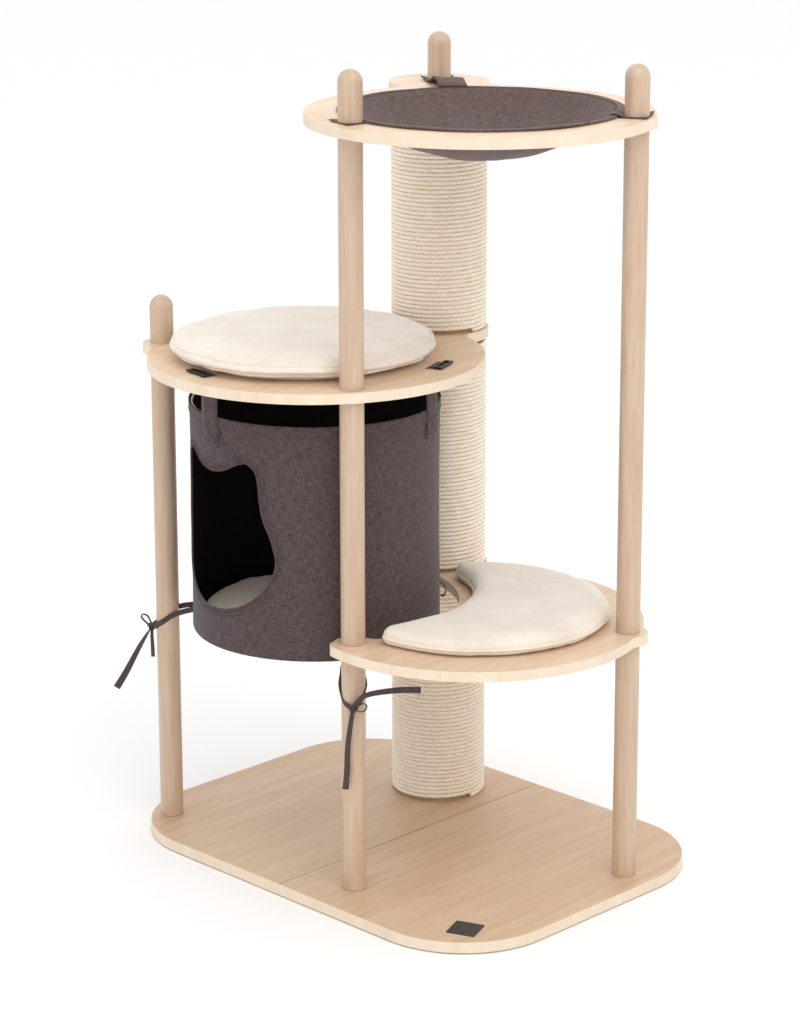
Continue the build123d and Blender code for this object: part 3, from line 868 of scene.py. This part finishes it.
hammock_bm = bmesh.new()
section = []
BOWL_RINGS = 26
for k in range(BOWL_RINGS + 1):
    share = k / BOWL_RINGS
    section.append((share * HOLE_REACH, bowl_height(share)))
for share, lift in ((0.35, 1.2), (0.7, 1.6), (1.0, 0.6)):
    section.append((blend_between(HOLE_REACH, RIM_REACH, share), seat + lift * MM))
verts = [hammock_bm.verts.new(HAMMOCK_AXIS + Vector((reach, 0, height))) for reach, height in section]
edges = [hammock_bm.edges.new(pair) for pair in zip(verts, verts[1:])]
bmesh.ops.spin(
    hammock_bm, geom=verts + edges, cent=HAMMOCK_AXIS, axis=UP,
    dvec=(0, 0, 0), angle=2 * math.pi, steps=120, use_merge=True,
)
bmesh.ops.remove_doubles(hammock_bm, verts=hammock_bm.verts, dist=1e-5)
write_uv(hammock_bm, in_plan)
for vert in hammock_bm.verts:
    arm = vert.co - HAMMOCK_AXIS
    arm.z = 0
    share = arm.length / HOLE_REACH
    turn = math.atan2(arm.y, arm.x)
    pull = max(math.cos(turn - peg_turn) for peg_turn in PEG_TURNS) ** 30
    fold = math.sin(turn * 17 + 2.0 * noise.noise(arm * 9)) * 1.6 * MM
    slack = math.sin(math.pi * min(share, 1)) if share < 1 else 0
    vert.co.z += slack * (pull * 7 * MM + fold * share * share)
    if share < 1:
        vert.co.z += noise.noise(arm * 12) * 3 * MM * slack
    else:
        vert.co += arm.normalized() * noise.noise(arm * 14) * 2.5 * MM
        vert.co.z += (noise.noise(arm * 11 + Vector((3, 1, 0))) + 0.4) * 1.4 * MM
    vert.co.z = max(vert.co.z, bowl_low.z + 1 * MM)
hammock = finish_piece("hammock_bowl", hammock_bm, "hammock_cloth", stands_for=(HAMMOCK_NODE,))
thicken(hammock, 1.8 * MM, offset=0.0)
print("hammock bowl", len(hammock.data.polygons), "faces")

# %% [markdown]
# A hem is the cloth's edge folded over and stitched, so it stands a little proud.  The
# stitches are hundreds of tiny equal dashes, so each is only a stretched octahedron-like
# bead with few faces.

# %% Hem and stitches
def stitch_row(name, line, outward, pitch, closed, slot):
    """Small beads laid end to end along a line of points, standing on the cloth."""
    bm = bmesh.new()
    total = 0.0
    wanted = pitch / 2
    for a, b in zip(line, line[1:] + line[:1] * closed):
        run = (b - a).length
        while run > 0 and wanted <= total + run:
            point = blend_between(a, b, (wanted - total) / run)
            along = (b - a).normalized()
            lift = outward(point)
            side = along.cross(lift).normalized()
            frame_axes = Matrix((along, side, lift)).transposed().to_4x4()
            frame_axes.translation = point + lift * 0.25 * MM
            shape = Matrix.Diagonal((pitch * 0.36, 0.55 * MM, 0.42 * MM, 1.0))
            bmesh.ops.create_icosphere(bm, subdivisions=1, radius=1.0, matrix=frame_axes @ shape)
            wanted += pitch
        total += run
    return finish_piece(name, bm, slot, thread_finish)


hem_line = []
for k in range(160):
    turn = 2 * math.pi * k / 160
    reach = heading(turn)
    wave = noise.noise(reach * RIM_REACH * 14) * 2.5 * MM
    height = seat + (1.6 + 1.4 * (noise.noise(reach * RIM_REACH * 11 + Vector((3, 1, 0))) + 0.4)) * MM
    point = HAMMOCK_AXIS + reach * (RIM_REACH - 6 * MM + wave)
    hem_line.append(Vector((point.x, point.y, height)))
hem_bm = bmesh.new()
hem_closed = hem_line + hem_line[:2]
hem_sides = [(p - HAMMOCK_AXIS - Vector((0, 0, p.z))).normalized() for p in hem_closed]
ribbon(hem_bm, hem_closed, hem_sides, [6.5 * MM] * len(hem_closed), cup=-0.12)
write_uv(hem_bm, in_plan)
hem = finish_piece("hammock_hem", hem_bm, "hammock_cloth")
thicken(hem, 2.6 * MM)
stitch_line = []
for p in hem_line:
    inwards = (HAMMOCK_AXIS + UP * p.z - p).normalized()
    stitch_line.append(p + inwards * 5.2 * MM + UP * 1.3 * MM)
stitch_row("hammock_hem_stitches", stitch_line, lambda p: UP, 4.2 * MM, True, "hammock_cloth")
print("hem and stitches made")

# %% [markdown]
# Three tabs are sewn to the hem and trapped under the pegs.  Each is a short strip whose far
# end is cut square; the back one buckles, because the cloth there is pulled askew.

# %% Hammock tabs
for label, peg, peg_turn, buckle in zip(("front", "right", "back"), pegs, PEG_TURNS, (2.0, 1.5, 9.0)):
    outwards = heading(peg_turn)
    sideways = Vector((-outwards.y, outwards.x, 0))
    distance = (Vector((peg.x, peg.y, 0)) - HAMMOCK_AXIS).length
    inner = RIM_REACH - 12 * MM
    outer = distance + 19 * MM
    stops = [inner + (outer - inner) * k / 14 for k in range(15)]
    line = []
    for reach in stops:
        hump = 0.0
        if reach < distance - 18 * MM:
            hump = math.sin(math.pi * (reach - inner) / (distance - 18 * MM - inner)) * buckle * MM
        point = HAMMOCK_AXIS + outwards * reach
        line.append(Vector((point.x, point.y, seat + 0.3 * MM + max(hump, 0))))
    tab_bm = bmesh.new()
    flare = [21.5 * MM + 3.5 * MM * (k / (len(line) - 1)) ** 3 for k in range(len(line))]
    ribbon(tab_bm, line, [sideways] * len(line), flare)
    for vert in tab_bm.verts:
        arm = Vector((vert.co.x - peg.x, vert.co.y - peg.y, 0))
        if arm.length > 21 * MM:
            curl = noise.noise(vert.co * 30 + Vector((peg_turn, 0, 0))) + 0.5
            vert.co.z += max(curl, 0) * min(arm.length - 21 * MM, 8 * MM) * (0.35 if buckle < 3 else 0.8)
    write_uv(tab_bm, in_plan)
    tab = finish_piece("hammock_tab_" + label, tab_bm, "hammock_cloth")
    thicken(tab, 1.6 * MM)
print("tabs made")

# %% [markdown]
# ## Den
# The den is cut flat from linen and rolled into a drum, so that is how it is made here: a
# flat panel with a cat's-head doorway, sliced into a fine net, then wrapped round its axis.
# Points are moved a little afterwards: the foot rounds in, the middle slackens, and a crease
# runs from the front strap down past one ear.

# %% Doorway line
den_low, den_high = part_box("den_wall")
DEN_AXIS = Vector(((den_low.x + den_high.x) / 2, (den_low.y + den_high.y) / 2, 0))
DEN_REACH = (den_high.x - den_low.x) / 2
DEN_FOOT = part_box("den_floor")[0].z
DEN_RIM = den_high.z
FOOT_ROUND = 5 * MM
FRONT_TURN = math.radians(-97.5)
DOOR_HALF = 109 * MM
DOOR_MIDDLE = 152 * MM
DOOR_BOTTOM = 61 * MM
DOOR_SIDE = [
    (1.0, 152),
    (0.955, 182),
    (0.84, 211),
    (0.805, 245),
    (0.79, 272),
    (0.72, 287),
    (0.6, 291),
    (0.46, 286),
    (0.32, 277),
    (0.16, 270.5),
    (0.0, 269),
]


def door_points():
    """Half the doorway from cheek to notch, mirrored, then the round chin."""
    side = [Vector((share * DOOR_HALF, height * MM, 0)) for share, height in DOOR_SIDE]
    right = smooth_line(side, per_span=5)
    left = [Vector((-p.x, p.y, 0)) for p in reversed(right)][1:]
    chin = []
    for k in range(1, 40):
        turn = math.pi + math.pi * k / 40
        height = DOOR_MIDDLE + math.sin(turn) * (DOOR_MIDDLE - DOOR_BOTTOM)
        chin.append(Vector((math.cos(turn) * DOOR_HALF, height, 0)))
    return right + left + chin


def wrap(flat, stand=0.0):
    """A flat point, across and up in metres, on the drum."""
    turn = FRONT_TURN + flat.x / DEN_REACH
    reach = DEN_REACH + stand + den_slack(flat.x, flat.y)
    return DEN_AXIS + heading(turn) * reach + UP * (DEN_FOOT + flat.y)


def den_slack(across, height):
    """How far the cloth stands off the true drum."""
    tall = DEN_RIM - DEN_FOOT
    slack = -1.6 * MM * math.sin(math.pi * min(max(height / tall, 0), 1))
    slack += 1.3 * MM * noise.noise(Vector((across * 6, height * 5, 4)))
    start, end = Vector((0.006, tall - 0.012)), Vector((0.084, tall - 0.074))
    line = end - start
    here = Vector((across, height)) - start
    along = min(max(here.dot(line) / line.length_squared, -0.15), 1.1)
    away = here - line * along
    side = away.x * line.y - away.y * line.x
    fade = math.sin(math.pi * min(max((along + 0.15) / 1.25, 0), 1))
    crease = math.exp(-(away.length / (5 * MM)) ** 2)
    swell = math.exp(-((away.length - 11 * MM) / (8 * MM)) ** 2) * (1 if side > 0 else 0.35)
    slack += fade * (2.2 * swell - 4.2 * crease) * MM
    if height < FOOT_ROUND:
        drop = (FOOT_ROUND - height) / FOOT_ROUND
        slack -= FOOT_ROUND * (1 - math.sqrt(max(1 - drop ** 2, 0)))
    return slack


door_flat = [Vector((DEN_REACH * math.asin(p.x / DEN_REACH), p.y, 0)) for p in door_points()]
print("doorway", len(door_flat), "points")

# %% Den wall
HALF_ROUND = math.pi * DEN_REACH
wall_bm = bmesh.new()
tall = DEN_RIM - DEN_FOOT
corners = [(-HALF_ROUND, 0), (HALF_ROUND, 0), (HALF_ROUND, tall), (-HALF_ROUND, tall)]
for loop_points in ([Vector((x, y, 0)) for x, y in corners], door_flat):
    loop_verts = [wall_bm.verts.new(p) for p in loop_points]
    for a, b in zip(loop_verts, loop_verts[1:] + loop_verts[:1]):
        wall_bm.edges.new((a, b))
bmesh.ops.triangle_fill(wall_bm, use_beauty=True, use_dissolve=False, edges=wall_bm.edges[:])


def slice_net(bm, direction, first, last, step):
    """Cuts a flat sheet by parallel planes, so it can bend smoothly."""
    place = first + step
    while place < last - step / 2:
        geometry = bm.verts[:] + bm.edges[:] + bm.faces[:]
        bmesh.ops.bisect_plane(bm, geom=geometry, plane_co=direction * place, plane_no=direction, dist=1e-6)
        place += step


slice_net(wall_bm, Vector((1, 0, 0)), -HALF_ROUND, HALF_ROUND, 2 * HALF_ROUND / 150)
slice_net(wall_bm, Vector((0, 1, 0)), FOOT_ROUND, DEN_RIM - DEN_FOOT, 8 * MM)
slice_net(wall_bm, Vector((0, 1, 0)), 0, 1.3 * FOOT_ROUND, FOOT_ROUND / 4)
write_uv(wall_bm, in_plan)
for vert in wall_bm.verts:
    vert.co = wrap(vert.co)
bmesh.ops.remove_doubles(wall_bm, verts=wall_bm.verts, dist=1e-5)
den_wall = finish_piece("den_linen_wall", wall_bm, "den_cloth", stands_for=("den_wall",))
# The inner face takes the near-black painted shade finish.
den_wall.data.materials.append(inner_painted_shade)
inside = thicken(den_wall, 1.6 * MM, offset=-1.0, even=False)
inside.material_offset = 1
print("den wall", len(den_wall.data.polygons), "faces")

# %% Den floor, hems and stitches
floor_disc = bmesh.new()
bmesh.ops.create_circle(floor_disc, cap_ends=True, radius=DEN_REACH - FOOT_ROUND, segments=96)
bmesh.ops.inset_region(floor_disc, faces=floor_disc.faces[:], thickness=40 * MM)
bmesh.ops.translate(floor_disc, verts=floor_disc.verts, vec=(DEN_AXIS.x, DEN_AXIS.y, DEN_FOOT + 0.9 * MM))
write_uv(floor_disc, in_plan)
den_base = finish_piece("den_linen_floor", floor_disc, "den_cloth", stands_for=("den_floor",))
thicken(den_base, 1.6 * MM)


def den_normal(point):
    return Vector((point.x - DEN_AXIS.x, point.y - DEN_AXIS.y, 0)).normalized()


def ring_at(height, stand, count=180):
    """A level line of points round the whole drum."""
    stops = [HALF_ROUND * (2 * k / count - 1) for k in range(count)]
    return [wrap(Vector((across, height, 0)), stand) for across in stops]


rim_hem = bmesh.new()
rim_line = ring_at(tall - 7 * MM, 0.5 * MM)
rim_line = rim_line + rim_line[:2]
ribbon(rim_hem, rim_line, [UP] * len(rim_line), [7.6 * MM] * len(rim_line), cup=0.0)


def round_drum(point):
    turn = math.atan2(point.y - DEN_AXIS.y, point.x - DEN_AXIS.x)
    return (turn * DEN_REACH, point.z)


write_uv(rim_hem, round_drum)
hem_piece = finish_piece("den_rim_hem", rim_hem, "den_cloth")
thicken(hem_piece, 1.0 * MM)
stitch_row("den_rim_stitches", ring_at(tall - 13 * MM, 0.9 * MM), den_normal, 4.2 * MM, True, "den_cloth")
door_edge = [wrap(p, 0.2 * MM) for p in door_flat]
door_roll = tube_mesh(door_edge, 1.5 * MM, True)
finish_piece("den_door_binding", door_roll, "den_cloth", ribbon_cloth)


def door_offset(distance):
    """The doorway line moved out over the cloth, for a row of stitches."""
    points = []
    count = len(door_flat)
    for k, p in enumerate(door_flat):
        ahead = door_flat[(k + 1) % count] - door_flat[k - 1]
        out = Vector((ahead.y, -ahead.x, 0)).normalized()
        points.append(p + out * distance)
    return points


for row, distance in enumerate((4.5 * MM, 9.5 * MM)):
    line = [wrap(p, 0.4 * MM) for p in door_offset(distance)]
    stitch_row("den_door_stitches_%d" % (row + 1), line, den_normal, 4.0 * MM, True, "den_cloth")
print("den hems made")

# %% [markdown]
# ## Straps
# Each strap is sewn to the drum in a square patch, rises through its slot in the shelf and
# folds flat under the cushion, where a small dark slide holds it.

# %% Den straps
tongue_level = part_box("strap_slides")[0].z - 0.9 * MM
for k in range(3):
    outwards = heading(FRONT_TURN + math.radians(120 * k))
    sideways = Vector((-outwards.y, outwards.x, 0))
    profile = [
        (1.3, DEN_RIM - 42 * MM),
        (1.3, DEN_RIM - 20 * MM),
        (1.2, DEN_RIM),
        (0.9, DEN_RIM + 25 * MM),
        (0.9, tongue_level - 8 * MM),
        (0.9, tongue_level - 1 * MM),
        (2.5, tongue_level),
        (9.0, tongue_level),
        (24.0, tongue_level),
    ]
    places = [DEN_AXIS + outwards * (DEN_REACH + out * MM) + UP * z for out, z in profile]
    line = smooth_line(places, per_span=4)
    strap_bm = bmesh.new()
    ribbon(strap_bm, line, [sideways] * len(line), [19.8 * MM] * len(line))
    for vert in strap_bm.verts:
        across = (vert.co - DEN_AXIS).dot(sideways)
        if vert.co.z < DEN_RIM:
            flat = Vector((HALF_ROUND * 2 / 3 * k + across, vert.co.z - DEN_FOOT, 0))
            placed = wrap(flat, 1.3 * MM)
            share = min((DEN_RIM - vert.co.z) / (12 * MM), 1)
            vert.co = blend_between(vert.co, placed, share)

    def along_strap(point):
        arm = point - DEN_AXIS
        return (arm.dot(sideways), point.z + arm.dot(outwards))

    write_uv(strap_bm, along_strap)
    stands = ("den_straps",) if k == 0 else ()
    strap = finish_piece("den_strap_%d" % (k + 1), strap_bm, "den_cloth", stands_for=stands)
    thicken(strap, 1.2 * MM)
    length = sum((b - a).length for a, b in zip(line, line[1:]))
    low_left, low_right = (-16, -38), (16, -38)
    top_left, top_right = (-16, -12), (16, -12)
    patch = [low_left, low_right, top_right, top_left, low_left, top_right, low_right, top_left]
    seam = []
    for across, height in patch:
        seam.append(Vector((HALF_ROUND * 2 / 3 * k + across * MM, tall + height * MM, 0)))
    dense = []
    for a, b in zip(seam, seam[1:]):
        dense += [blend_between(a, b, t / 8) for t in range(8)]
    sewn = [wrap(p, 2.0 * MM) for p in dense]
    stitch_row("den_strap_stitches_%d" % (k + 1), sewn, den_normal, 3.6 * MM, False, "den_cloth")
print("straps made")

# %% [markdown]
# ## Ties
# Two pairs of ribbons steady the drum against the posts.  A ribbon is a strip that follows
# a smooth line; where it is free it hangs as the CAD tail does, and it is held flat to the
# post where it wraps it.  A NURBS line keeps every bend round.

# %% Tie helpers
RIBBON_CLOTH = 1.1 * MM
POST_REACH = 17.5 * MM + 1.1 * MM


def on_post(post, degrees, z, stand=0.0):
    edge = Vector((post.x, post.y, z))
    return edge + heading(math.radians(degrees)) * (POST_REACH + stand)


def ribbon_piece(name, line, sides, half_widths, stands_for=()):
    bm = bmesh.new()
    ribbon(bm, line, sides, half_widths, cup=0.12)
    piece = finish_piece(name, bm, "tie_ribbon", stands_for=stands_for)
    thicken(piece, RIBBON_CLOTH)
    return piece


def even_ribbon(name, points, side, widths):
    """A short ribbon whose width points one way and runs between two sizes, in mm."""
    line = smooth_line(points, per_span=5)
    last = len(line) - 1
    halves = [blend_between(widths[0], widths[1], k / last) * MM / 2 for k in range(last + 1)]
    return ribbon_piece(name, line, [Vector(side)] * (last + 1), halves)


def strand(name, post, points, width, stands_for=()):
    """A ribbon from the den's foot round a post; its width stands upright on the post."""
    line = smooth_line(points, per_span=5)
    sides = []
    for point in line:
        sides.append(UP + 0.25 * Vector((point.x - post.x, point.y - post.y, 0)).normalized())
    return ribbon_piece(name, line, sides, [width / 2] * len(line), stands_for)


def free_tail(name, source, points, start_side, end_side, widths, node):
    """A free ribbon end along the CAD tail's own points, in metres, led out of its knot."""
    line = smooth_line([Vector(p) * MM for p in points], per_span=8)
    count = len(line) - 1
    sides = [blend_between(Vector(start_side), Vector(end_side), k / count) for k in range(count + 1)]
    halves = [blend_between(widths[0], widths[1], k / count) * MM / 2 for k in range(count + 1)]
    piece = ribbon_piece(name, line, sides, halves, (node,))
    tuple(line[0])
    lead = [source, blend_between(source, line[0], 0.5), line[0], line[1]]
    even_ribbon(name + "_lead", lead, start_side, (widths[0] - 1.0, widths[0]))
    return piece


def knot(name, centre, facing, size, node):
    """A trefoil line drawn tight: the overhand knot of the two ribbons."""
    facing = facing.normalized()
    across = facing.cross(UP).normalized()
    points = []
    for k in range(18):
        t = 2 * math.pi * k / 18
        flat = across * (math.sin(t) + 2 * math.sin(2 * t)) + UP * (math.cos(t) - 2 * math.cos(2 * t))
        points.append(centre + (flat * 0.33 - facing * math.sin(3 * t) * 0.55) * size)
    tube = tube_mesh(smooth_line(points, closed=True, per_span=4), size * 0.36, True)
    return finish_piece(name, tube, "tie_ribbon", stands_for=(node,))


print("tie helpers ready")

# %% Left tie
left_post = sum(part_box("left_post"), Vector()) / 2
left_knot = sum(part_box("left_tie_knot"), Vector()) / 2
VIEW = Vector((0.70, -0.71, 0.1))
edge_point = Vector((-0.2695, -0.1812, DEN_FOOT + 3 * MM))
strand(
    "left_tie_front_strand", left_post,
    [
        edge_point,
        Vector((-0.288, -0.197, 0.3535)),
        on_post(left_post, -22, 0.3455),
        on_post(left_post, -60, 0.3365),
        on_post(left_post, -98, 0.3285),
        on_post(left_post, -122, 0.3235, 1 * MM),
        left_knot,
    ],
    8.5 * MM, ("left_tie_band",),
)
strand(
    "left_tie_back_strand", left_post,
    [
        edge_point + UP * 0.006,
        Vector((-0.291, -0.181, 0.359)),
        on_post(left_post, 62, 0.353),
        on_post(left_post, 110, 0.343),
        on_post(left_post, 160, 0.333),
        on_post(left_post, 200, 0.326, 1 * MM),
        left_knot,
    ],
    8.0 * MM,
)
knot("left_tie_overhand", left_knot, VIEW, 6.0 * MM, "left_tie_knot")
left_tail_points = [
    (-343.4, -228.4, 313.0),
    (-350.6, -236.0, 296.0),
    (-360.2, -245.2, 270.0),
    (-370.4, -253.8, 244.0),
    (-379.6, -263.0, 223.0),
]
free_tail(
    "left_tie_long_tail", left_knot, left_tail_points,
    (0.6, 0.2, 0.75), (0.62, 0.60, -0.45), (6.5, 10.5), "left_tie_tail",
)
loop_steps = [(0, 0, 0), (-9, -8, 9), (-13, -11, 18), (-6, -5, 19), (-1, -1, 8), (0, 0, 0)]
loop_points = [left_knot + Vector(step) * MM for step in loop_steps]
even_ribbon("left_tie_loop", loop_points, (0.5, -0.6, 0.1), (7.2, 7.2))
short_steps = [(0, 0, 0), (2, -2, -12), (4.5, -3, -30), (5, -3, -47)]
short_points = [left_knot + Vector(step) * MM for step in short_steps]
even_ribbon("left_tie_short_end", short_points, (0.7, 0.7, 0.1), (4.6, 5.8))
print("left tie made")

# %% Front tie
front_post = sum(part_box("front_post_lower"), Vector()) / 2
front_knot = sum(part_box("front_tie_knot"), Vector()) / 2
edge_point = Vector((0.0592, -0.1930, DEN_FOOT + 3 * MM))
strand(
    "front_tie_near_strand", front_post,
    [
        edge_point,
        Vector((0.0615, -0.2085, 0.351)),
        on_post(front_post, -150, 0.342),
        on_post(front_post, -137, 0.322),
        on_post(front_post, -112, 0.309),
        on_post(front_post, -76, 0.3035, 1 * MM),
        front_knot,
    ],
    8.5 * MM, ("front_tie_band",),
)
strand(
    "front_tie_far_strand", front_post,
    [
        edge_point + UP * 0.005,
        Vector((0.071, -0.187, 0.352)),
        on_post(front_post, 84, 0.340),
        on_post(front_post, 40, 0.326),
        on_post(front_post, 2, 0.313),
        on_post(front_post, -26, 0.306, 1 * MM),
        front_knot,
    ],
    8.0 * MM,
)
knot("front_tie_overhand", front_knot, VIEW, 6.0 * MM, "front_tie_knot")
front_side_points = [
    (109.0, -228.0, 309.0),
    (113.5, -224.5, 319.0),
    (124.0, -214.5, 327.0),
    (141.5, -197.5, 331.0),
    (160.5, -178.0, 333.5),
    (177.5, -163.0, 333.0),
]
front_down_points = [
    (105.0, -229.5, 293.0),
    (101.5, -231.0, 272.0),
    (99.0, -233.5, 240.0),
    (98.2, -233.0, 208.0),
    (95.8, -234.5, 180.0),
]
free_tail(
    "front_tie_side_ribbon", front_knot, front_side_points,
    (0.3, 0.2, 0.9), (-0.15, -0.10, 0.98), (6.5, 9.5), "front_tie_side_tail",
)
free_tail(
    "front_tie_down_ribbon", front_knot, front_down_points,
    (0.7, 0.65, 0.1), (0.55, 0.6, 0.1), (6.5, 9.0), "front_tie_down_tail",
)
loop_steps = [(0, 0, 0), (9, 6, 8), (15, 12, 9), (15, 12, 0), (8, 6, -5), (0, 0, 0)]
loop_points = [front_knot + Vector(step) * MM for step in loop_steps]
even_ribbon("front_tie_loop", loop_points, (0.45, -0.6, 0.35), (6.8, 6.8))
print("front tie made")

# %% [markdown]
# A third, unused pair of ribbons is folded into a small loop on the drum's far right side,
# just above the low shelf.

# %% Spare loop on the drum
spare_out = heading(math.radians(44.5))
spare_side = Vector((-spare_out.y, spare_out.x, 0))
loop_points = []
for out, z in ((0.6, 0.419), (5.0, 0.417), (9.0, 0.409), (8.5, 0.400), (4.5, 0.396), (0.6, 0.398)):
    loop_points.append(DEN_AXIS + spare_out * (DEN_REACH + out * MM) + UP * z)
even_ribbon("den_spare_tie_loop", loop_points, spare_side, (8.0, 8.0))
print("spare loop made")
